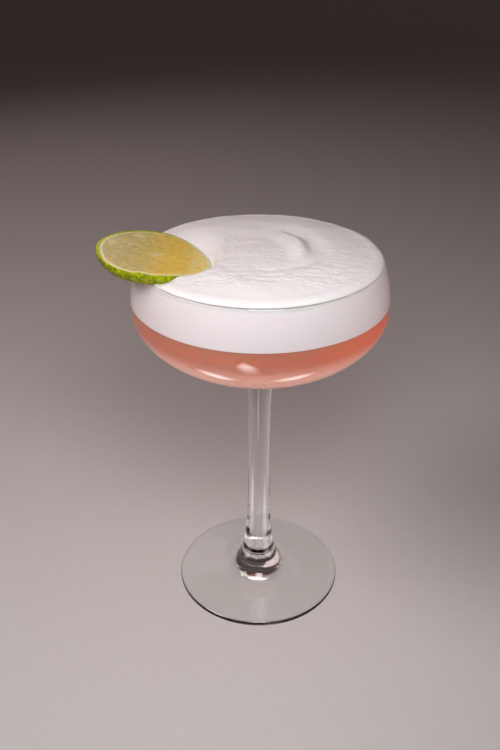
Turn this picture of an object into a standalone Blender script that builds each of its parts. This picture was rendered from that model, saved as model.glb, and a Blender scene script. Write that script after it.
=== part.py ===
"""A foam-topped cocktail in its stemmed coupe: glass, coral drink, thick foam head and a lime slice on the lip.

Metres, +Z up. The origin is the centre of the foot's underside, on the glass's axis, and -Y faces the viewer.
"""

import math

import bmesh
import bpy

# The glass, from the foot up
GLASS_HEIGHT = 0.157
FOOT_RADIUS = 0.0363
FOOT_EDGE = 0.0020
STEM_WAIST = 0.0031
FOOT_TRUMPET = 60e-6
BOWL_TRUMPET = 26e-6
STEM_MIDDLE = 0.060
TRUMPET_JOIN_RADIUS = 0.017
BELLY_HEIGHT = 0.1375
BELLY_RADIUS = 0.0502
BOWL_BASE = 0.1131
RIM_RADIUS = 0.0470
WALL = 0.0013
BOWL_FLOOR = 0.1159
# Powers of the bowl's rounded section: the first squares its side, the second rounds its base
SIDE_POWER = 0.75
BASE_POWER = 1.22

# The drink and the foam
GAP = 0.0003
DRINK_LEVEL = 0.1421
FOAM_EDGE = GLASS_HEIGHT - 0.0006
FOAM_RISE = 0.0021
# The furrow that a spoon left, part of a ring, shallow at its near end and deep from SWIRL_DEEP_FROM on
SWIRL_RADIUS = 0.0200
SWIRL_DEPTH = 0.0012
SWIRL_SHALLOW = 0.35
SWIRL_WIDTH = 0.0020
SWIRL_FROM = math.radians(-72)
SWIRL_DEEP_FROM = math.radians(-20)
SWIRL_DEEP_TO = math.radians(40)
SWIRL_TO = math.radians(68)
MOUND_CENTRE = (0.0125, 0.0075)
MOUND_RISE = 0.0009
MOUND_REACH = 0.0050
# The wrinkles run round the nearer half, between two radii
WRINKLE_PITCH = 0.0052
WRINKLE_DEPTH = 0.00022
WRINKLE_BAND = (0.013, 0.036)
WRINKLE_FADE = 0.0045
WRINKLE_SWAY = 0.0016
WRINKLE_LOBES = 3

# The lime slice
SLICE_RADIUS = 0.0212
SLICE_THICKNESS = 0.0045
SLICE_TILT = math.radians(8.6)
SLICE_LIP_X = -0.0405
SLICE_CENTRE = (-0.0393, -0.0063)
SLICE_BEND = 3.7
SLICE_UNEVEN = 0.022
SLICE_LOBES = 3
SLICE_DISH = 0.0003
SLICE_RIND = 0.0022
PRESSED_REACH = 0.0055

ROUND_SEGMENTS = 48
FOAM_SEGMENTS = 52
FOAM_RINGS = 24
SLICE_SEGMENTS = 40
CUTTER_REACH = 0.020
WELD = 1e-6


def clear_scene():
    for old in list(bpy.data.objects):
        bpy.data.objects.remove(old, do_unlink=True)


def finish_material(name, colour, roughness, metallic=0.0, transmission=0.0):
    material = bpy.data.materials.new(name)
    material.use_nodes = True
    shader = material.node_tree.nodes["Principled BSDF"]
    shader.inputs["Base Color"].default_value = (*colour, 1.0)
    shader.inputs["Roughness"].default_value = roughness
    shader.inputs["Metallic"].default_value = metallic
    shader.inputs["Transmission Weight"].default_value = transmission
    return material


def turned(outline, segments):
    """A bmesh: the outline of (radius, height) points, from the axis to the axis, turned round Z."""
    mesh = bmesh.new()
    points = [mesh.verts.new((radius, 0.0, height)) for radius, height in outline]
    edges = [mesh.edges.new(pair) for pair in zip(points, points[1:])]
    bmesh.ops.spin(
        mesh, geom=points + edges, cent=(0, 0, 0), axis=(0, 0, 1), angle=math.tau, steps=segments, use_merge=True
    )
    bmesh.ops.remove_doubles(mesh, verts=mesh.verts, dist=WELD)
    bmesh.ops.recalc_face_normals(mesh, faces=mesh.faces)
    return mesh


def add_object(name, mesh, material=None):
    data = bpy.data.meshes.new(name)
    mesh.to_mesh(data)
    mesh.free()
    made = bpy.data.objects.new(name, data)
    bpy.context.scene.collection.objects.link(made)
    if material:
        data.materials.append(material)
        data.shade_smooth()
        data.set_sharp_from_angle(angle=math.radians(40))
    return made


def steps(count):
    """Even shares from 0 to 1, both included."""
    return [i / count for i in range(count + 1)]


# The bowl's section


def bowl_round(belly, base, start_radius, count):
    """The rounded underside of the bowl, from start_radius out to the belly."""
    start = math.asin((start_radius / belly) ** (1 / SIDE_POWER))
    turns = [start + (math.pi / 2 - start) * share for share in steps(count)]
    return [
        (belly * math.sin(t) ** SIDE_POWER, BELLY_HEIGHT - (BELLY_HEIGHT - base) * max(math.cos(t), 0) ** BASE_POWER)
        for t in turns
    ]


def bowl_side_radius(height, inset):
    """Radius of the bowl above its belly, which draws in to the rim; inset moves it inwards."""
    share = (height - BELLY_HEIGHT) / (GLASS_HEIGHT - BELLY_HEIGHT)
    return BELLY_RADIUS - (BELLY_RADIUS - RIM_RADIUS) * share**2 - inset


def bowl_side(low, high, inset, count):
    heights = [low + (high - low) * share for share in steps(count)]
    return [(bowl_side_radius(height, inset), height) for height in heights]


def stem_outline():
    """The trumpet from the foot's upper edge, up the stem, to where it meets the bowl."""
    side_share = BOWL_TRUMPET / (TRUMPET_JOIN_RADIUS - STEM_WAIST)
    join = bowl_round(BELLY_RADIUS, BOWL_BASE, TRUMPET_JOIN_RADIUS, 1)[0][1]
    bowl_pole = join + side_share
    foot_pole = FOOT_EDGE - FOOT_TRUMPET / (FOOT_RADIUS - FOOT_EDGE / 2 - STEM_WAIST)

    def radius(height):
        return STEM_WAIST + FOOT_TRUMPET / (height - foot_pole) + BOWL_TRUMPET / (bowl_pole - height)

    lower = [FOOT_EDGE * (STEM_MIDDLE / FOOT_EDGE) ** share for share in steps(13)]
    reach = bowl_pole - STEM_MIDDLE
    upper = [bowl_pole - reach * (side_share / reach) ** share for share in steps(9)[1:-1]]
    return [(radius(height), height) for height in lower + upper]


def arc(centre, radius, start, end, count):
    angles = [math.radians(start + (end - start) * share) for share in steps(count)]
    return [(centre[0] + radius * math.cos(a), centre[1] + radius * math.sin(a)) for a in angles]


def glass_outline():
    edge = FOOT_EDGE / 2
    lip = WALL / 2
    foot = [(0.0, 0.0)] + arc((FOOT_RADIUS - edge, edge), edge, -90, 90, 5)[:-1]
    outside = bowl_round(BELLY_RADIUS, BOWL_BASE, TRUMPET_JOIN_RADIUS, 12)
    outside += bowl_side(BELLY_HEIGHT, GLASS_HEIGHT - lip, 0.0, 5)[1:-1]
    inside = bowl_round(BELLY_RADIUS - WALL, BOWL_FLOOR, 0.0, 14)
    inside += bowl_side(BELLY_HEIGHT, GLASS_HEIGHT - lip, WALL, 5)[1:-1]
    rim = arc((RIM_RADIUS - lip, GLASS_HEIGHT - lip), lip, 0, 180, 5)
    return foot + stem_outline() + outside + rim + inside[::-1]


def build_glass():
    material = finish_material("clear_glass", (0.95, 0.97, 0.97), 0.02, transmission=1.0)
    add_object("glass", turned(glass_outline(), ROUND_SEGMENTS), material)


def build_drink():
    inset = WALL + GAP
    under = bowl_round(BELLY_RADIUS - inset, BOWL_FLOOR + GAP, 0.0, 12)
    side = bowl_side(BELLY_HEIGHT, DRINK_LEVEL, inset, 2)[1:]
    material = finish_material("coral_drink", (0.62, 0.17, 0.10), 0.08)
    add_object("drink", turned(under + side + [(0.0, DRINK_LEVEL)], ROUND_SEGMENTS), material)


# The foam's surface


def smooth(value, low, high):
    """0 below low, 1 above high, and a smooth ramp between them."""
    share = min(max((value - low) / (high - low), 0.0), 1.0)
    return share * share * (3 - 2 * share)


def slice_top(x):
    """Height of the slice's cut face above the point x."""
    along = (x - SLICE_CENTRE[0]) / math.cos(SLICE_TILT)
    return slice_height() - math.sin(SLICE_TILT) * along - SLICE_BEND * (along - slice_lip()) ** 2


def slice_height():
    """Height of the middle of the cut face, from the underside resting on the rim."""
    return GLASS_HEIGHT + GAP + SLICE_THICKNESS + math.tan(SLICE_TILT) * (SLICE_LIP_X - SLICE_CENTRE[0])


def slice_lip():
    """Where the rim runs under the slice, along the slice from its middle."""
    return (SLICE_LIP_X - SLICE_CENTRE[0]) / math.cos(SLICE_TILT)


def foam_height(x, y, radius):
    """Height of the foam's skin: a shallow dome with a curled furrow, a soft mound and settling wrinkles."""
    out = math.hypot(x, y)
    turn = math.atan2(y, x)
    share = out / radius
    dome = FOAM_RISE * math.sqrt(max(1 - share**4, 0.0))
    depth = SWIRL_SHALLOW * smooth(turn, SWIRL_FROM, SWIRL_DEEP_FROM)
    depth += (1 - SWIRL_SHALLOW) * smooth(turn, SWIRL_DEEP_FROM, 0.0)
    depth *= SWIRL_DEPTH * (1 - smooth(turn, SWIRL_DEEP_TO, SWIRL_TO))
    furrow = -depth * math.exp(-(((out - SWIRL_RADIUS) / SWIRL_WIDTH) ** 2))
    away = math.hypot(x - MOUND_CENTRE[0], y - MOUND_CENTRE[1])
    mound = MOUND_RISE * math.exp(-((away / MOUND_REACH) ** 2))
    near, far = WRINKLE_BAND
    band = smooth(out, near, near + WRINKLE_FADE) * (1 - smooth(out, far - WRINKLE_FADE, far))
    band *= smooth(-y, -near, near)
    phase = out + WRINKLE_SWAY * math.sin(WRINKLE_LOBES * turn)
    wrinkles = WRINKLE_DEPTH * band * math.cos(math.tau * phase / WRINKLE_PITCH)
    height = FOAM_EDGE + dome + furrow + mound + wrinkles
    beside = math.hypot(x - SLICE_CENTRE[0], y - SLICE_CENTRE[1]) - SLICE_RADIUS
    pressed = min(slice_top(x), height) - height
    return height + pressed * (1 - smooth(beside, 0.0, PRESSED_REACH))


def build_foam(cutter):
    inset = WALL + GAP
    side = bowl_side(DRINK_LEVEL + GAP, FOAM_EDGE, inset, 5)
    edge_radius = side[-1][0]
    # The rings lie closer together towards the edge, where the skin turns down
    rings = [edge_radius * (1 - share**1.35) for share in steps(FOAM_RINGS)[1:-1]]
    outline = [(0.0, DRINK_LEVEL + GAP)] + side + [(ring, FOAM_EDGE) for ring in rings] + [(0.0, FOAM_EDGE)]
    mesh = turned(outline, FOAM_SEGMENTS)
    for vertex in mesh.verts:
        on_top = vertex.co.z > FOAM_EDGE - WELD and math.hypot(vertex.co.x, vertex.co.y) < edge_radius - WELD
        if on_top:
            vertex.co.z = foam_height(vertex.co.x, vertex.co.y, edge_radius)
    foam = add_object("foam", mesh, finish_material("white_foam", (0.90, 0.86, 0.86), 0.75))
    cut = foam.modifiers.new("pocket_for_slice", "BOOLEAN")
    cut.operation = "DIFFERENCE"
    cut.object = cutter


# The lime slice


def slice_underside(grow):
    """The slice's section from the middle of its underside out to its cut face, tapering towards the lime's end."""
    radius = SLICE_RADIUS + grow
    depth = SLICE_THICKNESS + grow
    taper = [(3.2, 1.0), (2.5, 0.93), (1.5, 0.72), (0.7, 0.45), (0.15, 0.16), (0.0, 0.0)]
    flat = [(radius * share, -depth) for share in (0.0, 0.28, 0.56)]
    return flat + [(radius - inset / 1000, -depth * share) for inset, share in taper]


def shape_slice(mesh):
    """Gives the turned slice its uneven outline and bends it over the rim."""
    for vertex in mesh.verts:
        turn = math.atan2(vertex.co.y, vertex.co.x)
        uneven = 1 + SLICE_UNEVEN * math.cos(SLICE_LOBES * turn)
        vertex.co.x *= uneven
        vertex.co.y *= uneven
        vertex.co.z -= SLICE_BEND * (vertex.co.x - slice_lip()) ** 2


def place_slice(piece):
    piece.location = (*SLICE_CENTRE, slice_height())
    piece.rotation_euler = (0.0, SLICE_TILT, 0.0)


def build_lime():
    flesh = SLICE_RADIUS - SLICE_RIND
    face = [(SLICE_RADIUS - SLICE_RIND / 2, 0.0), (flesh, 0.0)]
    face += [(flesh * share, -SLICE_DISH) for share in (0.94, 0.70, 0.42, 0.0)]
    mesh = turned(slice_underside(0.0) + face, SLICE_SEGMENTS)
    shape_slice(mesh)
    lime = add_object("lime_slice", mesh, finish_material("lime", (0.42, 0.34, 0.09), 0.35))
    place_slice(lime)


def build_slice_cutter():
    """The slice grown by the gap and carried straight up, to clear the foam round and over it."""
    under = slice_underside(GAP)
    rim = under[-1][0]
    mesh = turned(under + [(rim, CUTTER_REACH), (0.0, CUTTER_REACH)], SLICE_SEGMENTS)
    shape_slice(mesh)
    cutter = add_object("slice_cutter", mesh)
    place_slice(cutter)
    cutter.hide_render = True
    cutter.display_type = "WIRE"
    return cutter


def main():
    clear_scene()
    build_glass()
    build_drink()
    build_foam(build_slice_cutter())
    build_lime()


main()
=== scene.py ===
"""The looks of a foam-topped cocktail: clear coupe glass, cloudy coral drink, froth and a wet lime slice on the lip.

Metres, +Z up, with the origin under the middle of the foot. -Y faces the camera.
"""

import math

import bpy
from bpy.props import FloatProperty, FloatVectorProperty, PointerProperty
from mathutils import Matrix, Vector


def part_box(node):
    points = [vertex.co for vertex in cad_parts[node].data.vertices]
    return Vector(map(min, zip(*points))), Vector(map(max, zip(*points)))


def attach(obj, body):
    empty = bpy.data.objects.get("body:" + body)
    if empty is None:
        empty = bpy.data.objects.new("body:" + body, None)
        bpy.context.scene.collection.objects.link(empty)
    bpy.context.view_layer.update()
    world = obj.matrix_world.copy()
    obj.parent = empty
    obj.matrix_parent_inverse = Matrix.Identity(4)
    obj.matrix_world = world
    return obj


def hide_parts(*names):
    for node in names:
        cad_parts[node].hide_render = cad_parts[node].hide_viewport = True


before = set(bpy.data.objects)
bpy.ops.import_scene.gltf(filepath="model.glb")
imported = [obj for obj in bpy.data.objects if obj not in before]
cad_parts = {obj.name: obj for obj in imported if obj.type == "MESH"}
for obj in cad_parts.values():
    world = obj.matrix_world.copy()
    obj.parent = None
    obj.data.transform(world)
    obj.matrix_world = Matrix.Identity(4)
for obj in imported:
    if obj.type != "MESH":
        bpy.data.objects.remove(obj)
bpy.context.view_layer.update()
GLASS_LOW, GLASS_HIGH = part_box("glass")
DRINK_LOW, DRINK_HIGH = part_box("drink")
SLICE_LOW, SLICE_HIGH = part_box("lime_slice")

bl_info = {
    "name": "Foam-Topped Coupe",
    "version": (1, 0, 0),
    "blender": (4, 5, 0),
    "location": "View3D > Sidebar > Cocktail",
    "description": "Makes a coupe glass with its drink, froth and lime slice, and a studio round them",
    "category": "Object",
}

MM = 0.001
WELD = 1e-6
# The gap that the solids keep between pieces
GAP = 0.3 * MM
# Edges sharper than this stay crisp
CREASE = math.radians(50)

# The bowl's rounded section, as powers: the first squares its side and the second rounds its base
SIDE_POWER = 0.75
BASE_POWER = 1.22
# The two hollow curves that widen the stem, as radius times height
FOOT_TRUMPET = 60e-6
BOWL_TRUMPET = 26e-6


def length(name, description, default):
    return FloatProperty(name=name, description=description, default=default, unit="LENGTH", subtype="DISTANCE")


def colour(name, description, default):
    return FloatVectorProperty(
        name=name, description=description, default=default, subtype="COLOR", size=3, min=0.0, max=1.0
    )


class GlassSizes(bpy.types.PropertyGroup):
    height: length("Height", "Table to lip", GLASS_HIGH.z)
    belly_radius: length("Belly radius", "Outside of the bowl where it is widest", GLASS_HIGH.x)
    belly_height: length("Belly height", "Table to the widest part of the bowl", 137.5 * MM)
    rim_radius: length("Lip radius", "Outside of the lip", 47.0 * MM)
    bowl_base: length("Bowl base", "Table to the outside of the bowl on the axis", 113.1 * MM)
    bowl_floor: length("Bowl floor", "Table to the inside of the bowl on the axis", DRINK_LOW.z - GAP)
    wall: length("Wall", "Thickness of the bowl's side", 1.3 * MM)
    foot_radius: length("Foot radius", "Outside of the foot", 36.3 * MM)
    foot_edge: length("Foot edge", "Thickness of the foot at its edge", 2.0 * MM)
    foot_hollow: length("Foot hollow", "Height of the hollow under the foot", 1.2 * MM)
    hollow_radius: length("Hollow radius", "Radius of the hollow under the foot", 33.0 * MM)
    stem_waist: length("Stem waist", "Radius that the stem tends to", 3.1 * MM)
    stem_middle: length("Stem middle", "Height where the foot's curve hands over to the bowl's", 60.0 * MM)
    join_radius: length("Join radius", "Radius where the stem's curve meets the bowl", 17.0 * MM)


class DrinkLook(bpy.types.PropertyGroup):
    level: length("Level", "Table to the drink's surface", DRINK_HIGH.z - 0.5 * MM)
    reach: length("Reach", "How far the drink reaches into the wall", 0.2 * MM)
    froth_reach: length("Froth reach", "How far the froth reaches into the wall", 0.12 * MM)
    upper: colour("Upper colour", "Colour under the froth", (0.76, 0.235, 0.15))
    lower: colour("Lower colour", "Colour near the bowl's floor", (0.87, 0.37, 0.275))
    # Painted glow: the next three colours are emitted by the drink itself. They stand in for light coming through it at
    # the right, up through its lower part and up next to the stem.
    painted_glow: colour("Shine", "Light that comes through at the right", (0.20, 0.014, 0.0))
    low_painted_glow: colour("Low shine", "Light that comes up through the lower part", (0.33, 0.20, 0.16))
    base_painted_glow: colour("Base shine", "Light that comes up next to the stem", (0.12, 0.0, 0.0))


class FrothLook(bpy.types.PropertyGroup):
    crown: length("Crown", "Height of the dome's middle over the roll at its edge", 1.45 * MM)
    crinkle_depth: length("Crinkle depth", "Depth of the crinkled skin", 0.64 * MM)
    tint: colour("Colour", "Colour of the froth", (0.905, 0.855, 0.86))


class LimeLook(bpy.types.PropertyGroup):
    radius: length("Radius", "Radius of the cut face", 21.38 * MM)
    thickness: length("Thickness", "Thickness of the slice", 4.7 * MM)
    taper: length("Taper", "How much smaller the underside's radius is", 1.2 * MM)
    tilt: FloatProperty(name="Tilt", description="Slope down towards the froth", default=math.radians(8.6), unit="ROTATION", subtype="ANGLE")
    centre_x: length("Centre X", "Middle of the slice, left of the axis", -39.3 * MM)
    centre_y: length("Centre Y", "Middle of the slice, before the axis", -6.3 * MM)
    lip_x: length("Lip X", "Where the lip carries the slice", -40.5 * MM)
    bend: FloatProperty(name="Bend", description="Droop over the lip, per metre", default=3.7)
    pulp: colour("Pulp", "Colour of the juice sacs", (0.82, 0.545, 0.10))
    # Painted shade: the outer end, which hangs past the lip, gets a darker, greyer pulp colour.
    painted_shade_pulp: colour("Dull pulp", "Colour of the juice sacs at the outer end", (0.57, 0.47, 0.20))
    pith: colour("Pith", "Colour of the pith and the membranes", (0.86, 0.78, 0.46))
    zest: colour("Zest", "Colour of the skin", (0.43, 0.47, 0.002))


class StageLook(bpy.types.PropertyGroup):
    floor: colour("Floor", "Colour of the floor", (0.80, 0.795, 0.79))
    key_power: FloatProperty(name="Key", description="Power of the front light, in watts", default=0.362, unit="POWER")
    side_power: FloatProperty(name="Side", description="Power of the side light, in watts", default=0.88, unit="POWER")
    card_power: FloatProperty(name="Cards", description="Power of each low card, in watts", default=0.048, unit="POWER")
    rim_power: FloatProperty(name="Back", description="Power of the back light, in watts", default=0.56, unit="POWER")
    glow: FloatProperty(name="Glow", description="Brightness of the soft patches that the glass mirrors", default=4.0)


# Wiring materials


class Wire:
    """A node's output, with arithmetic that adds Math nodes."""

    def __init__(self, tree, socket):
        self.tree = tree
        self.socket = socket

    def math(self, operation, *values):
        return add_node(self.tree, "ShaderNodeMath", {"operation": operation}, values)

    def __add__(self, other):
        return self.math("ADD", self, other)

    def __sub__(self, other):
        return self.math("SUBTRACT", self, other)

    def __rsub__(self, other):
        return self.math("SUBTRACT", other, self)

    def __mul__(self, other):
        return self.math("MULTIPLY", self, other)

    def __truediv__(self, other):
        return self.math("DIVIDE", self, other)

    def __pow__(self, other):
        return self.math("POWER", self, other)

    __radd__ = __add__
    __rmul__ = __mul__


def add_node(tree, kind, settings=None, values=(), output=0):
    """Adds one node: its settings first, then the value or link of each socket, by name or by order."""
    node = tree.nodes.new(kind)
    for name, value in (settings or {}).items():
        setattr(node, name, value)
    for key, value in values.items() if isinstance(values, dict) else enumerate(values):
        if isinstance(value, Wire):
            tree.links.new(value.socket, node.inputs[key])
        else:
            node.inputs[key].default_value = value
    return Wire(tree, node.outputs[output])


class Finish:
    """A material being wired up: its Principled shader, and the patterns that vary it."""

    def __init__(self, name, **sockets):
        self.material = bpy.data.materials.new(name)
        self.material.use_nodes = True
        self.tree = self.material.node_tree
        self.shader = self.tree.nodes["Principled BSDF"]
        for socket, value in sockets.items():
            self.shader.inputs[socket.replace("_", " ")].default_value = value

    def node(self, kind, settings=None, values=(), output=0):
        return add_node(self.tree, kind, settings, values, output)

    def feed(self, socket, wire):
        self.tree.links.new(wire.socket, self.shader.inputs[socket])

    def place(self):
        return self.node("ShaderNodeTexCoord", output="Object")

    def parts(self, vector):
        """The three numbers of a vector, as wires."""
        return [self.node("ShaderNodeSeparateXYZ", values=(vector,), output=axis) for axis in range(3)]

    def stretch(self, vector, scale):
        return self.node("ShaderNodeVectorMath", {"operation": "MULTIPLY"}, (vector, scale))

    def noise(self, vector, scale, detail=2.0, roughness=0.5):
        values = {"Vector": vector, "Scale": scale, "Detail": detail, "Roughness": roughness}
        return self.node("ShaderNodeTexNoise", values=values)

    def cells(self, vector, scale, feature="F1"):
        values = {"Vector": vector, "Scale": scale}
        return self.node("ShaderNodeTexVoronoi", {"feature": feature}, values, "Distance")

    def ramp(self, wire, low, high, to_low=0.0, to_high=1.0):
        """A smooth ramp from to_low at low to to_high at high."""
        values = (wire, low, high, to_low, to_high)
        return self.node("ShaderNodeMapRange", {"interpolation_type": "SMOOTHSTEP"}, values)

    def mix(self, share, first, second):
        """A colour between the first, at 0, and the second, at 1."""
        ends = [end if isinstance(end, Wire) else (*end, 1.0) for end in (first, second)]
        return self.node("ShaderNodeMix", {"data_type": "RGBA"}, {0: share, 6: ends[0], 7: ends[1]}, 2)

    def bump(self, height, strength, distance):
        """Feeds a height pattern to the shader's Normal."""
        self.feed("Normal", self.node("ShaderNodeBump", values={"Height": height, "Strength": strength, "Distance": distance}))

    def show_through(self, share, through):
        """Mixes a share of another shader over what the surface shows."""
        surface = self.tree.nodes["Material Output"].inputs["Surface"]
        shown = Wire(self.tree, surface.links[0].from_socket)
        mixed = self.node("ShaderNodeMixShader", values=(share, shown, through))
        self.tree.links.new(mixed.socket, surface)

    def clear_to_lamps(self, tint):
        """Lets lamplight, and light that other surfaces scatter, through in straight lines."""
        through = self.node("ShaderNodeBsdfTransparent", values=((*tint, 1.0),))
        for ray in ("Is Diffuse Ray", "Is Shadow Ray"):
            self.show_through(self.node("ShaderNodeLightPath", output=ray), through)


# Modelling


def deselect():
    bpy.ops.object.select_all(action="DESELECT")


def steps(count):
    """Even shares from 0 to 1, both included."""
    return [i / count for i in range(count + 1)]


def arc(centre, radius, start, end, count):
    angles = [math.radians(start + (end - start) * share) for share in steps(count)]
    return [(centre[0] + radius * math.cos(a), centre[1] + radius * math.sin(a)) for a in angles]


def angles(start, end, count):
    """Even angles from start to end, given in degrees."""
    return [math.radians(start + (end - start) * share) for share in steps(count)]


def smooth(value, low, high):
    """0 below low, 1 above high, and a smooth ramp between them."""
    share = min(max((value - low) / (high - low), 0.0), 1.0)
    return share * share * (3 - 2 * share)


def start_point(name, place):
    """A new mesh of one point, from a small plane merged to its middle, in edit mode."""
    deselect()
    bpy.ops.mesh.primitive_plane_add(size=MM, location=place)
    piece = bpy.context.object
    piece.name = name
    piece.data.name = name
    bpy.ops.object.transform_apply(location=True, rotation=True, scale=True)
    bpy.ops.object.mode_set(mode="EDIT")
    bpy.ops.mesh.select_all(action="SELECT")
    bpy.ops.mesh.merge(type="CENTER")
    return piece


def turn(name, outline, segments):
    """Draws an outline of (radius, height) points from the axis to the axis, and spins it to a closed piece."""
    piece = start_point(name, (outline[0][0], 0.0, outline[0][1]))
    for (radius, height), (next_radius, next_height) in zip(outline, outline[1:]):
        move = (next_radius - radius, 0.0, next_height - height)
        bpy.ops.mesh.extrude_region_move(TRANSFORM_OT_translate={"value": move})
    bpy.ops.mesh.select_all(action="SELECT")
    bpy.ops.mesh.spin(steps=segments, angle=math.tau, center=(0, 0, 0), axis=(0, 0, 1))
    bpy.ops.mesh.select_all(action="SELECT")
    bpy.ops.mesh.remove_doubles(threshold=WELD)
    bpy.ops.mesh.normals_make_consistent(inside=False)
    bpy.ops.object.mode_set(mode="OBJECT")
    bpy.ops.object.shade_smooth_by_angle(angle=CREASE)
    return piece


def paint(piece, name, share_at):
    """Paints a vertex group with the share, 0 to 1, that share_at gives for a place."""
    group = piece.vertex_groups.new(name=name)
    for vertex in piece.data.vertices:
        share = share_at(vertex.co)
        if share > 0:
            group.add([vertex.index], min(share, 1.0), "REPLACE")
    return name


def displace(piece, group, depth, direction="Z", texture=None, guide=None):
    """Pushes the painted part of a piece by depth, all alike or by a texture's light and dark."""
    push = piece.modifiers.new(group, "DISPLACE")
    push.vertex_group = group
    push.direction = direction
    push.strength = depth
    push.mid_level = 0.0
    if texture:
        push.mid_level = 0.5
        push.texture = texture
        push.texture_coords = "OBJECT" if guide else "LOCAL"
        push.texture_coords_object = guide
    deselect()
    piece.select_set(True)
    bpy.context.view_layer.objects.active = piece
    bpy.ops.object.modifier_apply(modifier=push.name)


def grain(name, kind, size, **settings):
    """A texture for displacing, with features of the given size."""
    texture = bpy.data.textures.new(name, kind)
    texture.noise_scale = size
    for key, value in settings.items():
        setattr(texture, key, value)
    return texture


def add_guide(name, scale, turned=0.0):
    """An empty that stretches and turns a texture."""
    deselect()
    bpy.ops.object.empty_add(location=(0, 0, 0), rotation=(0, 0, turned))
    guide = bpy.context.object
    guide.name = name
    guide.scale = scale
    bpy.context.view_layer.update()
    return guide


def settle(piece, finish, node=None):
    """Gives a finished piece its material and ties it to the model."""
    piece.data.materials.clear()
    for material in finish if isinstance(finish, list) else [finish]:
        piece.data.materials.append(material)
    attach(piece, "root")
    if node:
        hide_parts(node)


# The bowl's section


def bowl_round(glass, inset, base, start_radius, count):
    """The rounded underside of the bowl, from start_radius out to the belly; inset moves it inwards."""
    belly = glass.belly_radius - inset
    start = math.asin((start_radius / belly) ** (1 / SIDE_POWER))
    turns = [start + (math.pi / 2 - start) * share for share in steps(count)]
    drop = glass.belly_height - base
    return [
        (belly * math.sin(t) ** SIDE_POWER, glass.belly_height - drop * max(math.cos(t), 0.0) ** BASE_POWER)
        for t in turns
    ]


def bowl_side(glass, inset, low, high, count):
    """The bowl above its belly, drawing in to the lip; inset moves it inwards."""
    points = []
    for share in steps(count):
        height = low + (high - low) * share
        rise = (height - glass.belly_height) / (glass.height - glass.belly_height)
        points.append((glass.belly_radius - (glass.belly_radius - glass.rim_radius) * rise**2 - inset, height))
    return points


def stem_outline(glass):
    """The trumpet from the foot's upper edge, up the stem, to where it meets the bowl."""
    side_share = BOWL_TRUMPET / (glass.join_radius - glass.stem_waist)
    bowl_pole = bowl_round(glass, 0.0, glass.bowl_base, glass.join_radius, 1)[0][1] + side_share
    edge_run = glass.foot_radius - glass.foot_edge / 2 - glass.stem_waist
    foot_pole = glass.foot_edge - FOOT_TRUMPET / edge_run

    def radius(height):
        return glass.stem_waist + FOOT_TRUMPET / (height - foot_pole) + BOWL_TRUMPET / (bowl_pole - height)

    lower = [glass.foot_edge * (glass.stem_middle / glass.foot_edge) ** share for share in steps(44)]
    reach = bowl_pole - glass.stem_middle
    upper = [bowl_pole - reach * (side_share / reach) ** share for share in steps(32)[1:-1]]
    return [(radius(height), height) for height in lower + upper]


def glass_outline(glass):
    edge = glass.foot_edge / 2
    lip = glass.wall / 2
    under = [
        (glass.hollow_radius * share, glass.foot_hollow * (1 - share**2) ** 1.5) for share in steps(16)
    ]
    foot = under + arc((glass.foot_radius - edge, edge), edge, -90, 90, 12)[:-1]
    outside = bowl_round(glass, 0.0, glass.bowl_base, glass.join_radius, 40)
    outside += bowl_side(glass, 0.0, glass.belly_height, glass.height - lip, 16)[1:-1]
    inside = bowl_round(glass, glass.wall, glass.bowl_floor, 0.0, 44)
    inside += bowl_side(glass, glass.wall, glass.belly_height, glass.height - lip, 16)[1:-1]
    rim = arc((glass.rim_radius - lip, glass.height - lip), lip, 0, 180, 12)
    return foot + stem_outline(glass) + outside + rim + inside[::-1]


def glass_finish():
    finish = Finish(
        "clear_glass", Base_Color=(0.985, 0.995, 0.99, 1), Transmission_Weight=1.0, IOR=1.5, Roughness=0.0
    )
    where = finish.place()
    smudge = finish.ramp(finish.noise(where, 45.0, 3.0), 0.55, 0.8)
    finish.feed("Roughness", smudge * 0.03)
    finish.bump(finish.noise(finish.stretch(where, (1.0, 1.0, 0.35)), 70.0, 1.0), 0.05, 0.3 * MM)
    finish.clear_to_lamps((0.96, 0.97, 0.965))
    return finish.material


class COCKTAIL_OT_glass(bpy.types.Operator):
    """Turns the coupe glass: hollow-footed, thin-stemmed and round-lipped"""

    bl_idname = "cocktail.glass"
    bl_label = "Coupe Glass"

    def execute(self, context):
        piece = turn("coupe_glass", glass_outline(context.scene.glass_sizes), 160)
        settle(piece, glass_finish(), "glass")
        return {"FINISHED"}


def drink_finish(look):
    finish = Finish(
        "coral_drink", Subsurface_Weight=1.0, Subsurface_Radius=(1.0, 0.35, 0.25), Subsurface_Scale=14 * MM,
        Roughness=0.25, IOR=1.34, Specular_IOR_Level=0.2, Emission_Strength=1.0,
    )
    where = finish.place()
    height = finish.parts(where)[2]
    cloud = finish.noise(where, 38.0, 3.0)
    fall = finish.ramp(height + (cloud - 0.5) * 5 * MM, 126 * MM, 138 * MM)
    finish.feed("Base Color", finish.mix(fall, look.lower, look.upper))
    x, _, _ = finish.parts(where)
    # Painted glow: emission that brightens the drink towards the right, in its lower part and at the bottom next to the
    # stem.
    right = finish.mix(finish.ramp(x, 8 * MM, 46 * MM), (0.0, 0.0, 0.0), look.painted_glow)
    low = finish.mix(finish.ramp(height, 117 * MM, 129 * MM), look.base_painted_glow, look.low_painted_glow)
    finish.feed("Emission Color", finish.mix(finish.ramp(height, 129 * MM, 137 * MM), low, right))
    return finish.material


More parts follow.
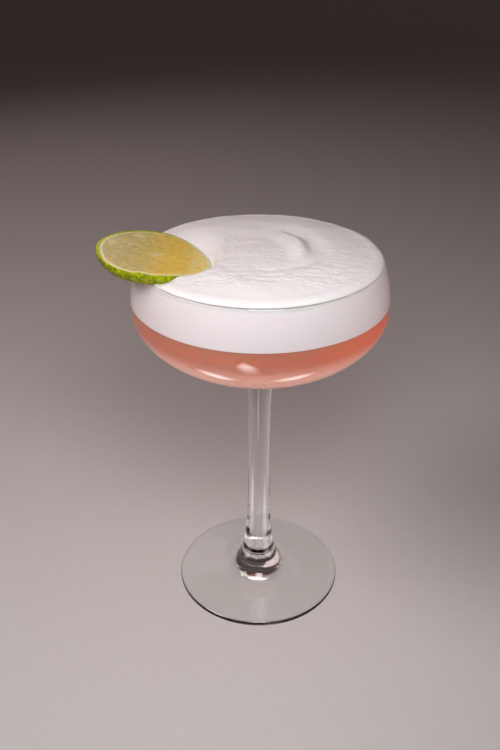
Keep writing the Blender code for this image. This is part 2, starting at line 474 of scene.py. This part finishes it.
class COCKTAIL_OT_drink(bpy.types.Operator):
    """Fills the bowl with the cloudy coral drink, up to its level"""

    bl_idname = "cocktail.drink"
    bl_label = "Drink"

    def execute(self, context):
        glass = context.scene.glass_sizes
        look = context.scene.drink_look
        inset = glass.wall - look.reach
        outline = bowl_round(glass, inset, glass.bowl_floor - look.reach, 0.0, 40)
        outline += bowl_side(glass, inset, glass.belly_height, look.level, 6)[1:]
        outline.append((0.0, look.level))
        settle(turn("coral_drink", outline, 160), drink_finish(look), "drink")
        return {"FINISHED"}


# The lime slice's place, which the froth needs too

# How its edge swings in and out, in millimetres: the cosine and sine parts of 1 to 4 waves round it
EDGE_WAVES = ((-0.18, -0.95), (-0.12, -0.30), (0.35, 0.03), (0.16, -0.53))
# A nick in the edge, by its angle and width in degrees and its depth in millimetres
NICK_ANGLE = -97
NICK_WIDTH = 6
NICK_DEPTH = 0.9
# A broad swelling of the edge, given the same way
SWELL_ANGLE = 137
SWELL_WIDTH = 42
SWELL_HEIGHT = 1.3


def slice_lip(lime):
    """Where the lip runs under the slice, along the slice from its middle."""
    return (lime.lip_x - lime.centre_x) / math.cos(lime.tilt)


def slice_height(lime):
    """Height of the middle of the cut face when the underside rests on the lip."""
    return GLASS_HIGH.z + lime.thickness + math.tan(lime.tilt) * (lime.lip_x - lime.centre_x)


def slice_top(lime, x):
    """Height of the cut face above the place x."""
    along = (x - lime.centre_x) / math.cos(lime.tilt)
    return slice_height(lime) - math.sin(lime.tilt) * along - lime.bend * (along - slice_lip(lime)) ** 2


def edge_radius(lime, around, rise=1.0):
    """Radius of the slice's uneven edge at an angle; the nick fades from the cut face, 1, to the underside, 0."""
    wave = sum(
        out * math.cos(count * around) + side * math.sin(count * around)
        for count, (out, side) in enumerate(EDGE_WAVES, 1)
    )
    wave -= NICK_DEPTH * rise * math.exp(-(((math.degrees(around) - NICK_ANGLE) / NICK_WIDTH) ** 2))
    off = (math.degrees(around) - SWELL_ANGLE + 180) % 360 - 180
    return lime.radius + (wave + SWELL_HEIGHT * math.exp(-((off / SWELL_WIDTH) ** 2))) * MM


def beside_slice(lime, x, y):
    """How far outside the slice's edge a place is, less than 0 inside it, and its angle round the slice in degrees."""
    x = (x - lime.centre_x) / math.cos(lime.tilt)
    y -= lime.centre_y
    around = math.atan2(y, x)
    return math.hypot(x, y) - edge_radius(lime, around), math.degrees(around)


# The froth

FROTH_SEGMENTS = 440
# The froth bulges over the lip as a roll of this width, height over its widest place and depth below it
ROLL_WIDTH = 4.6 * MM
ROLL_HEIGHT = 1.75 * MM
ROLL_UNDERCUT = 0.55 * MM
# How far the roll stands out past the lip's outside, and how high over the lip it is widest
ROLL_OVERHANG = -0.6 * MM
ROLL_RISE = 0.05 * MM
# The skin is relieved above this height over the lip
SKIN_OVER_LIP = 0.6 * MM
# The curl: a ridge and a furrow along part of a ring, both given by how far they lie outside the ring
CURL_CENTRE = (-9.0, -1.2)
CURL_RADIUS = 28.3
RIDGE = (-11.5, -4.2, 0.4)
RIDGE_ARC = (-42, 10, 38, 56)
RIDGE_HEIGHT = 0.75
FURROW = (-4.2, 0.4, 9.5)
FURROW_ARC = (-22, 8, 40, 58)
FURROW_DEPTH = 0.62
# Shallow furrows along other rings: centre, radius, arc in degrees with its faded ends, depth and width
FAINT_FURROWS = (
    ((2.0, 4.0), 24.6, (-110, -70, -30, -8), 0.38, 1.9),
    ((0.0, -7.0), 13.2, (80, 105, 150, 185), 0.15, 1.6),
    ((4.0, 2.0), 33.0, (-75, -50, -20, 5), 0.20, 1.8),
)
# Soft humps and hollows: centre, reach across and along, and height
SOFT_FORMS = (
    ((14.6, 0.5), (4.2, 9.5), 1.45),
    ((4.5, 13.0), (3.5, 8.0), -0.3),
    ((24.0, 8.5), (2.6, 4.5), 0.35),
    ((-2.0, 12.5), (7.5, 3.2), -0.18),
    ((-6.0, 21.0), (9.0, 3.5), 0.25),
    ((-2.0, -5.0), (9.0, 8.0), 0.25),
    ((22.0, -20.0), (8.0, 5.0), 0.30),
)
MOST_RELIEF = 3.0
# The dome falls away between these distances from the axis; the roll cuts it off before the second
CROWN_FLAT = 27.5 * MM
CROWN_END = 52 * MM
# The froth slopes down to the slice over the first distance, and over both together at the back
PRESSED_NEAR = 3.5 * MM
PRESSED_MORE = 12 * MM
# How far it lies under the cut face: below the slice, beside its back and beside its front left
PRESSED_UNDER = 2.2 * MM
BACK_DROP = 2.4 * MM
FRONT_DROP = 3.4 * MM
# It laps over the slice's edge along this arc, in degrees with faded ends
LAP_ARC = (-72, -58, -40, -16)
LAP_RISE = 0.4


def froth_outline(glass, look, reach, level):
    """From the axis at the drink's level, up the wall and out over the lip, round the roll and in over the dome."""
    inset = glass.wall - reach
    lip = glass.wall / 2
    widest = glass.height + ROLL_RISE
    middle = glass.rim_radius + ROLL_OVERHANG - ROLL_WIDTH
    wall = bowl_side(glass, inset, level, glass.height - 2 * lip, 14)
    tuck = [(glass.rim_radius - lip, glass.height - 1.1 * lip)]
    under = [(middle + ROLL_WIDTH * math.cos(a), widest + ROLL_UNDERCUT * math.sin(a)) for a in angles(-32, 0, 8)]
    over = [(middle + ROLL_WIDTH * math.cos(a), widest + ROLL_HEIGHT * math.sin(a)) for a in angles(0, 90, 26)[1:]]
    top = widest + ROLL_HEIGHT
    rolled = smooth(middle, CROWN_FLAT, CROWN_END)
    dome = []
    for share in steps(104)[::-1][1:]:
        dome.append((middle * share, top + look.crown * (1 - smooth(middle * share, CROWN_FLAT, CROWN_END) / rolled)))
    return [(0.0, level)] + wall + tuck + under + over + dome


def between(value, edges):
    """0 outside the outer two of four edges, 1 between the inner two, and a smooth ramp at either side."""
    return smooth(value, edges[0], edges[1]) * (1 - smooth(value, edges[2], edges[3]))


def ring_place(centre, x, y):
    """Distance from a ring's centre, and the angle round it in degrees."""
    return math.hypot(x - centre[0], y - centre[1]), math.degrees(math.atan2(y - centre[1], x - centre[0]))


def froth_relief(x, y):
    """Height of the curl, the faint furrows and the soft forms at a place; all in millimetres."""
    away, angle = ring_place(CURL_CENTRE, x, y)
    out = away - CURL_RADIUS
    height = RIDGE_HEIGHT * between(angle, RIDGE_ARC) * between(out, (RIDGE[0], RIDGE[1], RIDGE[1], RIDGE[2]))
    height -= FURROW_DEPTH * between(angle, FURROW_ARC) * between(out, (FURROW[0], FURROW[1], FURROW[1], FURROW[2]))
    for centre, radius, span, depth, width in FAINT_FURROWS:
        away, angle = ring_place(centre, x, y)
        height -= depth * between(angle, span) * math.exp(-(((away - radius) / width) ** 2))
    for centre, reach, rise in SOFT_FORMS:
        height += rise * math.exp(-(((x - centre[0]) / reach[0]) ** 2) - ((y - centre[1]) / reach[1]) ** 2)
    return height


def press_under_slice(piece, lime, skin):
    """Sinks the froth below the slice, and lets it slope down to the slice's edge."""
    deepest = 6 * MM

    def share(place):
        beside, angle = beside_slice(lime, place.x, place.y)
        reach = PRESSED_NEAR + PRESSED_MORE * smooth(angle, -5, 60)
        if place.z < skin or beside > reach:
            return 0.0
        drop = BACK_DROP * smooth(angle, -5, 50) + FRONT_DROP * smooth(-angle, 58, 80)
        drop = max(drop, PRESSED_UNDER * smooth(-beside, 0.3 * MM, 1.4 * MM))
        target = slice_top(lime, place.x) - drop - 0.1 * MM
        return max(place.z - target, 0.0) * (1 - max(beside / reach, 0.0)) ** 2 / deepest

    displace(piece, paint(piece, "under_slice", share), -deepest)


def lap_over_slice(lime, place):
    """Height, in millimetres, of the low fold of froth along the slice's edge."""
    beside, angle = beside_slice(lime, place.x, place.y)
    return LAP_RISE * between(angle, LAP_ARC) * math.exp(-(((beside - 0.6 * MM) / (1.2 * MM)) ** 2))


def relieve_froth(piece, glass, look, lime):
    skin = glass.height + SKIN_OVER_LIP
    press_under_slice(piece, lime, glass.height + ROLL_RISE)
    inner = glass.rim_radius - ROLL_WIDTH * 0.6

    def away_from_edge(place):
        return 1 - smooth(math.hypot(place.x, place.y), inner, glass.rim_radius - 0.5 * MM)

    def relief_share(sign):
        def share(place):
            if place.z < skin - 3 * MM or math.hypot(place.x, place.y) > glass.rim_radius - 0.5 * MM:
                return 0.0
            relief = froth_relief(place.x / MM, place.y / MM) * away_from_edge(place) + lap_over_slice(lime, place)
            return max(sign * relief, 0.0) / MOST_RELIEF if place.z > DRINK_HIGH.z + 5 * MM else 0.0

        return share

    raised = paint(piece, "raised", relief_share(1))
    sunk = paint(piece, "sunk", relief_share(-1))
    displace(piece, raised, MOST_RELIEF * MM)
    displace(piece, sunk, -MOST_RELIEF * MM)

    def crinkled(place):
        if place.z < skin - 2 * MM:
            return 0.0
        beside = smooth(beside_slice(lime, place.x, place.y)[0], 0.5 * MM, 5 * MM)
        x = place.x / MM
        y = place.y / MM
        strong = between(y, (-37, -31, -22, -12)) * between(x, (-30, -18, 30, 40))
        right = between(x, (18, 28, 40, 44)) * between(y, (-26, -20, -4, 6))
        faint = between(y, (-40, -30, 0, 24))
        return beside * away_from_edge(place) * (0.62 * strong + 0.14 * right + 0.24 * faint)

    crinkles = paint(piece, "crinkles", crinkled)
    guide = add_guide("crinkle_guide", (2.3, 1.0, 1.0), math.radians(-6))
    displace(piece, crinkles, look.crinkle_depth, "Z", grain("long_crinkles", "CLOUDS", 2.2 * MM, noise_depth=1), guide)
    bpy.data.objects.remove(guide)
    guide = add_guide("short_crinkle_guide", (1.7, 1.0, 1.0), math.radians(14))
    fine = grain("short_crinkles", "CLOUDS", 1.15 * MM, noise_depth=1, noise_basis="IMPROVED_PERLIN")
    displace(piece, crinkles, look.crinkle_depth * 0.8, "Z", fine, guide)
    bpy.data.objects.remove(guide)

    everywhere = paint(piece, "skin", lambda place: smooth(place.z, glass.height + 0.1 * MM, skin))
    displace(piece, everywhere, 0.55 * MM, "Z", grain("swell", "CLOUDS", 12 * MM, noise_depth=1))
    displace(piece, everywhere, 0.16 * MM, "Z", grain("froth", "CLOUDS", 1.0 * MM, noise_depth=2))


def froth_finish(look, glass):
    finish = Finish(
        "froth", Subsurface_Weight=0.6, Subsurface_Radius=(1.0, 0.85, 0.8), Subsurface_Scale=1.2 * MM, IOR=1.33,
        Specular_IOR_Level=0.3,
    )
    where = finish.place()
    bubbles = finish.cells(where, 1400.0)
    fine = finish.noise(where, 2600.0, 2.0)
    finish.feed("Roughness", finish.ramp(fine, 0.3, 0.7, 0.38, 0.7))
    cloud = finish.noise(where, 90.0, 3.0)
    pale = finish.mix(cloud, look.tint, (0.93, 0.895, 0.90))
    # Painted shade: the bubble pits are a little darker.
    pitted = finish.mix(finish.ramp(bubbles, 0.0, 0.25, 0.12, 0.0), pale, (0.62, 0.56, 0.56))
    x, y, height = finish.parts(where)
    outer = finish.ramp((x * x + y * y) ** 0.5, glass.rim_radius - 1.5 * MM, glass.rim_radius - 1.2 * MM)
    low = finish.ramp(height, glass.height - 0.75 * MM, glass.height - 0.5 * MM)
    # Painted shadow: a dark band where the froth tucks against the lip, standing in for the shade in that crevice.
    painted_lip_shadow = finish.ramp(height, glass.height - 0.1 * MM, glass.height + 0.1 * MM, 1.0, 0.0) * low * outer
    # Painted shade: the froth's side below the lip, seen through the glass, is darker and pinker than its top.
    below = finish.ramp(height, glass.height - 3 * MM, glass.height - 1 * MM, 1.0, 0.0) * outer
    froth_with_painted_wall_shade = finish.mix(below, pitted, (0.895, 0.81, 0.84))
    finish.feed("Base Color", finish.mix(painted_lip_shadow * 0.75, froth_with_painted_wall_shade, (0.24, 0.19, 0.19)))
    finish.bump(bubbles + fine * 0.6, 0.35, 0.18 * MM)
    return finish.material


class COCKTAIL_OT_froth(bpy.types.Operator):
    """Tops the drink with froth that domes over the lip, furrowed, wrinkled and pressed down by the slice"""

    bl_idname = "cocktail.froth"
    bl_label = "Froth"

    def execute(self, context):
        scene = context.scene
        look = scene.froth_look
        drink = scene.drink_look
        glass = scene.glass_sizes
        piece = turn("froth_head", froth_outline(glass, look, drink.froth_reach, drink.level - GAP), FROTH_SEGMENTS)
        relieve_froth(piece, glass, look, scene.lime_look)
        settle(piece, froth_finish(look, glass), "foam")
        return {"FINISHED"}


# The lime slice

LIME_SEGMENTS = 380
# Widths of the green skin and of the pith with it, at the cut faces
SKIN_WIDTH = 0.7 * MM
SKIN_WIDTH_BACK = 1.7 * MM
PITH_WIDTH = 1.55 * MM
# How far the underside lies off the cut face
UNDER_SHIFT = (0.9 * MM, 1.0 * MM)
# The core sits off the middle, and the wedges meet at it
CORE = (1.4 * MM, -2.6 * MM)
CORE_RADIUS = 1.3 * MM
WEDGES = 9
WEDGE_TURN = 0.35
MEMBRANE = 0.35 * MM
PLAN_MAP = "slice_plan"
# Pale patches on the cut face: middle, reach and strength
PALE_PATCHES = (
    ((-6.5 * MM, 13.5 * MM), (3.2 * MM, 3.2 * MM), 0.55),
    ((0.8 * MM, -3.4 * MM), (2.8 * MM, 1.1 * MM), 0.6),
    ((-15.0 * MM, 5.0 * MM), (2.2 * MM, 4.0 * MM), 0.4),
)
# Skin at the end that lies in the froth
WET_ZEST = (0.74, 0.72, 0.50)


def lime_outline(lime):
    """The slice's section: underside, bulging skin and cut face, with softened edges."""
    soft = 0.3 * MM
    low = lime.radius - lime.taper
    under = [(low * share, -lime.thickness) for share in steps(44)[:-1]]
    skin = []
    for share in steps(16):
        bulge = 0.6 * MM * math.sin(math.pi * share)
        skin.append((low + lime.taper * share + bulge, -lime.thickness + soft + (lime.thickness - 2 * soft) * share))
    face = [((lime.radius - soft) * share, 0.0) for share in steps(50)[::-1]]
    return under + [(low - soft / 2, -lime.thickness + soft / 4)] + skin + face


def wedge_place(x, y):
    """Distance from the core, and how near a membrane is, from 0 in a wedge's middle to 1 on the membrane."""
    x -= CORE[0]
    y -= CORE[1]
    away = math.hypot(x, y)
    turned = (math.atan2(y, x) / math.tau * WEDGES + WEDGE_TURN) % 1.0
    across = min(turned, 1 - turned) / WEDGES * math.tau * away
    return away, 1 - smooth(across, 0.2 * MEMBRANE, 1.6 * MEMBRANE)


def lay_plan(piece, radius):
    """Stores each point's flat place in the slice as a map, so that the pattern bends with it."""
    plan = piece.data.uv_layers.new(name=PLAN_MAP)
    for loop in piece.data.loops:
        place = piece.data.vertices[loop.vertex_index].co
        plan.data[loop.index].uv = (place.x / radius / 2 + 0.5, place.y / radius / 2 + 0.5)


def relieve_lime(piece, lime):
    flesh = lime.radius - PITH_WIDTH

    def in_pulp(place):
        inner = flesh if place.z > -lime.thickness / 2 else flesh - lime.taper
        edge = 1 - smooth(math.hypot(place.x, place.y), inner - 0.7 * MM, inner)
        away, membrane = wedge_place(place.x, place.y)
        return edge * (1 - 0.35 * membrane) * smooth(away, 0.0, CORE_RADIUS)

    def on_rind(place):
        inner = lime.radius - lime.taper - 0.2 * MM
        return smooth(math.hypot(place.x, place.y), inner, inner + 0.4 * MM) * smooth(-place.z, 0.1 * MM, 0.5 * MM)

    pulp = paint(piece, "pulp", in_pulp)
    rind = paint(piece, "rind", on_rind)
    displace(piece, pulp, 0.1 * MM, "NORMAL")
    displace(piece, pulp, 0.12 * MM, "NORMAL", grain("sacs", "CLOUDS", 2.6 * MM, noise_depth=1))
    displace(piece, rind, 0.45 * MM, "NORMAL", grain("zest_pores", "VORONOI", 1.2 * MM))
    displace(piece, rind, 0.5 * MM, "NORMAL", grain("zest_swell", "CLOUDS", 4.0 * MM))


def bend_lime(piece, lime):
    """Gives the slice its uneven outline and droops it over the lip."""
    for vertex in piece.data.vertices:
        around = math.atan2(vertex.co.y, vertex.co.x)
        uneven = edge_radius(lime, around, max(1 + vertex.co.z / lime.thickness, 0.0)) / lime.radius
        depth = min(-vertex.co.z / lime.thickness, 1.0)
        vertex.co.x = vertex.co.x * uneven + UNDER_SHIFT[0] * depth
        vertex.co.y = vertex.co.y * uneven + UNDER_SHIFT[1] * depth
        vertex.co.z -= lime.bend * (vertex.co.x - slice_lip(lime)) ** 2


def cut_finish(lime):
    finish = Finish(
        "lime_cut", Roughness=0.3, Subsurface_Weight=0.7, Subsurface_Radius=(1.0, 0.75, 0.2),
        Subsurface_Scale=2.0 * MM, Coat_Weight=0.2, Coat_Roughness=0.12, IOR=1.36, Specular_IOR_Level=0.3,
    )
    plan = finish.node("ShaderNodeUVMap", {"uv_map": PLAN_MAP})
    middle = finish.node("ShaderNodeVectorMath", {"operation": "SUBTRACT"}, (plan, (0.5, 0.5, 0.0)))
    flat = finish.stretch(middle, (2 * lime.radius,) * 3)
    x, y, _ = finish.parts(flat)
    out = (x * x + y * y) ** 0.5
    from_core_x = x - CORE[0]
    from_core_y = y - CORE[1]
    away = (from_core_x * from_core_x + from_core_y * from_core_y) ** 0.5
    angle = finish.node("ShaderNodeMath", {"operation": "ARCTAN2"}, (from_core_y, from_core_x))
    turned = finish.node("ShaderNodeMath", {"operation": "FRACT"}, (angle * (WEDGES / math.tau) + WEDGE_TURN + WEDGES,))
    across = finish.node("ShaderNodeMath", {"operation": "MINIMUM"}, (turned, 1 - turned)) * away * (math.tau / WEDGES)
    wobble = finish.noise(flat, 420.0, 3.0)
    clouds = finish.noise(flat, 95.0, 3.0, 0.6)
    mottle = finish.noise(flat, 380.0, 4.0, 0.62)
    membrane = finish.ramp(across + (wobble - 0.5) * 1.2 * MM, 0.05 * MM, 0.9 * MM, 1.0, 0.0)
    # Painted light and shade: the pulp darkens towards the outer end, which hangs past the lip. It brightens at the end
    # over the froth, as if lit through from below.
    along = finish.ramp(x + (clouds - 0.5) * 14 * MM, -11 * MM, 9 * MM)
    pulp_with_painted_shade = finish.mix(along, lime.painted_shade_pulp, lime.pulp)
    end = finish.mix(finish.ramp(x, 9 * MM, 19 * MM, 0.0, 0.75), pulp_with_painted_shade, (0.95, 0.76, 0.28))
    deep = finish.mix(finish.ramp(mottle, 0.3, 0.6, 0.02, 0.0), end, (0.56, 0.37, 0.06))
    lit = finish.mix(finish.ramp(mottle, 0.54, 0.72, 0.0, 0.45), deep, (0.95, 0.80, 0.38))
    pale = finish.mix(finish.ramp(clouds, 0.52, 0.72, 0.0, 0.35), lit, (0.84, 0.75, 0.40))
    for centre, reach, share in PALE_PATCHES:
        near = ((x - centre[0]) / reach[0]) ** 2.0 + ((y - centre[1]) / reach[1]) ** 2.0
        pale = finish.mix(finish.ramp(near + (wobble - 0.5) * 1.2, 0.0, 1.0, share, 0.0), pale, lime.pith)
    veined = finish.mix(membrane * 0.05, pale, lime.pith)
    cored = finish.mix(finish.ramp(away, 0.5 * MM, 2.2 * MM, 0.25, 0.0), veined, lime.pith)
    edge_wander = out + (wobble - 0.5) * 0.7 * MM
    pith_edge = finish.ramp(y - x, 2 * MM, 22 * MM, lime.radius - PITH_WIDTH, lime.radius - PITH_WIDTH - 1 * MM)
    pithy = finish.mix(finish.ramp(edge_wander - pith_edge, -0.5 * MM, 0.3 * MM), cored, lime.pith)
    skin_edge = finish.ramp(y - x, 2 * MM, 22 * MM, lime.radius - SKIN_WIDTH, lime.radius - SKIN_WIDTH_BACK)
    skin = finish.ramp(edge_wander - skin_edge, -0.3 * MM, 0.3 * MM)
    zest = finish.mix(finish.ramp(x, 9 * MM, 18 * MM, 0.0, 0.85), lime.zest, WET_ZEST)
    finish.feed("Base Color", finish.mix(skin, pithy, zest))
    finish.feed("Roughness", finish.ramp(mottle, 0.35, 0.65, 0.22, 0.45))
    finish.bump(mottle + wobble * 0.5, 0.09, 0.3 * MM)
    return finish.material


def zest_finish(lime):
    finish = Finish(
        "lime_zest", Roughness=0.42, Subsurface_Weight=0.15, Subsurface_Radius=(0.6, 0.8, 0.1),
        Subsurface_Scale=1.0 * MM, Specular_IOR_Level=0.15,
    )
    where = finish.place()
    pores = finish.cells(where, 1000.0)
    patch = finish.noise(where, 380.0, 3.0)
    blotched = finish.mix(finish.ramp(patch, 0.38, 0.62, 0.85, 0.0), lime.zest, (0.16, 0.21, 0.001))
    pitted = finish.mix(finish.ramp(pores, 0.1, 0.5, 0.75, 0.0), blotched, (0.08, 0.115, 0.001))
    x, _, _ = finish.parts(where)
    finish.feed("Base Color", finish.mix(finish.ramp(x, -28 * MM, -20 * MM, 0.0, 0.85), pitted, WET_ZEST))
    finish.bump(pores, 1.0, 0.35 * MM)
    return finish.material


class COCKTAIL_OT_lime(bpy.types.Operator):
    """Lays the lime slice over the lip: cut wedges, pith and pitted skin, drooping a little"""

    bl_idname = "cocktail.lime"
    bl_label = "Lime Slice"

    def execute(self, context):
        lime = context.scene.lime_look
        piece = turn("lime_wheel", lime_outline(lime), LIME_SEGMENTS)
        lay_plan(piece, lime.radius)
        rim = lime.radius - lime.taper - 0.1 * MM
        for face in piece.data.polygons:
            out = math.hypot(face.center.x, face.center.y)
            face.material_index = int(out > rim and -lime.thickness < face.center.z < -0.05 * MM)
        relieve_lime(piece, lime)
        bend_lime(piece, lime)
        piece.rotation_euler = (0.0, lime.tilt, 0.0)
        piece.location = (lime.centre_x, lime.centre_y, slice_height(lime))
        deselect()
        piece.select_set(True)
        bpy.ops.object.transform_apply(location=True, rotation=True, scale=True)
        slots = [face.material_index for face in piece.data.polygons]
        settle(piece, [cut_finish(lime), zest_finish(lime)], "lime_slice")
        for face, index in zip(piece.data.polygons, slots):
            face.material_index = index
        return {"FINISHED"}


# The studio

FLOOR_RADIUS = 1.6
FLOOR_DROP = 0.05 * MM
WALL_RISE = 0.9
CAMERA_PLACE = (-3.9 * MM, -296.5 * MM, 274.7 * MM)
CAMERA_PITCH = math.radians(60.25)
CAMERA_LENS = 40.0
SENSOR = 36.0
AIM = Vector((0.0, 0.0, 0.13))
BOWL = Vector((0.0, 0.0, 0.135))
CARD_SIZE = (0.10, 0.22)
CARD_SPREAD = math.radians(90)
# Low lamps that stand in for light from the table: place, share of the power and colour
CARDS = {
    "right_card": ((0.31, -0.03, 0.05), 2.0, (1.0, 0.80, 0.72)),
    "left_card": ((-0.25, -0.17, 0.05), 0.75, (1.0, 0.94, 0.93)),
    "front_card": ((0.10, -0.30, 0.05), 0.15, (1.0, 0.86, 0.84)),
}
GLOW_HEIGHT = 5 * MM
GLOW_TINT = (0.96, 0.95, 0.95)
# Soft patches on the floor: middle, half sizes, heading in degrees and share of the brightness
GLOWS = {
    "front_glow": ((-0.042, -0.20), (0.034, 0.135), -15, 2.8),
    "left_glow": ((-0.056, -0.022), (0.040, 0.026), 8, 1.2),
    "right_glow": ((0.043, -0.026), (0.038, 0.024), -8, 1.1),
}


def add_floor(look):
    """A round floor that curves up to a low wall all round."""
    deselect()
    bpy.ops.mesh.primitive_circle_add(vertices=96, radius=FLOOR_RADIUS, fill_type="NGON", location=(0, 0, -FLOOR_DROP))
    floor = bpy.context.object
    floor.name = "studio_floor"
    bpy.ops.object.transform_apply(location=True, rotation=True, scale=True)
    bpy.ops.object.mode_set(mode="EDIT")
    bpy.ops.mesh.select_all(action="SELECT")
    bpy.ops.mesh.region_to_loop()
    last = (FLOOR_RADIUS, 0.0)
    for radius, height in arc((FLOOR_RADIUS, WALL_RISE), WALL_RISE, -90, 0, 16)[1:]:
        bpy.ops.mesh.extrude_region_move(TRANSFORM_OT_translate={"value": (0, 0, height - last[1])})
        share = radius / last[0]
        bpy.ops.transform.resize(value=(share, share, 1), center_override=(0, 0, 0))
        last = (radius, height)
    bpy.ops.object.mode_set(mode="OBJECT")
    bpy.ops.object.shade_smooth()
    finish = Finish("studio_paper", Roughness=0.8, Specular_IOR_Level=0.2)
    x, y, _ = finish.parts(finish.place())
    out = (x * x + y * y) ** 0.5
    fibre = finish.noise(finish.place(), 220.0, 3.0)
    near = finish.mix(finish.ramp(fibre, 0.3, 0.7, 0.0, 0.04), look.floor, (0.50, 0.49, 0.48))
    # Painted shade: the floor darkens from the middle out to the wall, as if the light fell off.
    finish.feed("Base Color", finish.mix(finish.ramp(out, 0.35, 1.5), near, (0.42, 0.415, 0.41)))
    floor.data.materials.append(finish.material)


def add_lamp(name, place, size, power, tint=(1.0, 1.0, 1.0), aim=AIM):
    """A soft rectangular lamp that faces its aim."""
    deselect()
    turned = (aim - Vector(place)).to_track_quat("-Z", "Y").to_euler()
    bpy.ops.object.light_add(type="AREA", location=place, rotation=turned)
    lamp = bpy.context.object
    lamp.name = name
    lamp.data.shape = "RECTANGLE"
    lamp.data.size, lamp.data.size_y = size
    lamp.data.energy = power
    lamp.data.color = tint
    lamp.visible_camera = False
    return lamp


def add_glow(name, middle, half, heading, strength):
    """A soft bright patch that lies on the floor, seen only where the glass mirrors it."""
    deselect()
    bpy.ops.mesh.primitive_plane_add(size=2, location=(*middle, GLOW_HEIGHT), rotation=(0, 0, math.radians(heading)))
    glow = bpy.context.object
    glow.name = name
    glow.scale = (*half, 1)
    finish = Finish(name, Base_Color=(0, 0, 0, 1), Specular_IOR_Level=0.0, Emission_Strength=strength)
    x, y, _ = finish.parts(finish.place())
    finish.feed("Emission Color", finish.mix(finish.ramp((x * x + y * y) ** 0.5, 0.1, 1.0), GLOW_TINT, (0, 0, 0)))
    underneath = finish.node("ShaderNodeNewGeometry", output="Backfacing")
    finish.show_through(underneath, finish.node("ShaderNodeBsdfTransparent"))
    glow.data.materials.append(finish.material)
    glow.visible_camera = False
    glow.visible_diffuse = False
    glow.visible_transmission = False
    glow.visible_shadow = False


class COCKTAIL_OT_studio(bpy.types.Operator):
    """Sets the pale floor, the soft lamps and the camera"""

    bl_idname = "cocktail.studio"
    bl_label = "Studio"

    def execute(self, context):
        look = context.scene.stage_look
        add_floor(look)
        add_lamp("key_lamp", (0.012, -0.185, 0.285), (0.10, 0.10), look.key_power, (0.98, 1.0, 1.0))
        add_lamp("side_lamp", (-0.33, -0.10, 0.46), (0.18, 0.18), look.side_power, (1.0, 0.86, 0.85))
        add_lamp("back_lamp", (-0.45, 0.75, 0.60), (0.7, 0.4), look.rim_power, (1.0, 0.78, 0.76))
        for name, (place, share, tint) in CARDS.items():
            card = add_lamp(name, place, CARD_SIZE, look.card_power * share, tint, BOWL)
            card.data.spread = CARD_SPREAD
            card.visible_glossy = False
            card.visible_transmission = False
        for name, (middle, half, heading, share) in GLOWS.items():
            add_glow(name, middle, half, heading, look.glow * share)
        world = bpy.data.worlds.new("studio_air")
        world.use_nodes = True
        world.node_tree.nodes["Background"].inputs["Color"].default_value = (0.86, 0.62, 0.60, 1.0)
        world.node_tree.nodes["Background"].inputs["Strength"].default_value = 0.08
        context.scene.world = world
        context.scene.view_settings.view_transform = "Standard"
        deselect()
        bpy.ops.object.camera_add(location=CAMERA_PLACE, rotation=(CAMERA_PITCH, 0, 0))
        camera = context.object
        camera.data.lens = CAMERA_LENS
        camera.data.sensor_width = SENSOR
        camera.data.clip_start = 0.01
        context.scene.camera = camera
        return {"FINISHED"}


class COCKTAIL_PT_sidebar(bpy.types.Panel):
    """Lists the pieces' sizes and colours, and the steps that make them"""

    bl_idname = "COCKTAIL_PT_sidebar"
    bl_label = "Foam-Topped Coupe"
    bl_space_type = "VIEW_3D"
    bl_region_type = "UI"
    bl_category = "Cocktail"

    def draw(self, context):
        for group, (operator, _) in zip(GROUPS, STEPS):
            box = self.layout.box()
            values = getattr(context.scene, group)
            for name in values.__annotations__:
                box.prop(values, name)
            box.operator(operator.bl_idname)


GROUPS = {
    "glass_sizes": GlassSizes,
    "drink_look": DrinkLook,
    "froth_look": FrothLook,
    "lime_look": LimeLook,
    "stage_look": StageLook,
}
STEPS = (
    (COCKTAIL_OT_glass, "glass"),
    (COCKTAIL_OT_drink, "drink"),
    (COCKTAIL_OT_froth, "froth"),
    (COCKTAIL_OT_lime, "lime"),
    (COCKTAIL_OT_studio, "studio"),
)


def register():
    for name, group in GROUPS.items():
        bpy.utils.register_class(group)
        setattr(bpy.types.Scene, name, PointerProperty(type=group))
    for operator, _ in STEPS:
        bpy.utils.register_class(operator)
    bpy.utils.register_class(COCKTAIL_PT_sidebar)


def unregister():
    bpy.utils.unregister_class(COCKTAIL_PT_sidebar)
    for operator, _ in STEPS:
        bpy.utils.unregister_class(operator)
    for name, group in GROUPS.items():
        delattr(bpy.types.Scene, name)
        bpy.utils.unregister_class(group)


def main():
    register()
    for _, step in STEPS:
        getattr(bpy.ops.cocktail, step)()


if __name__ == "__main__":
    main()
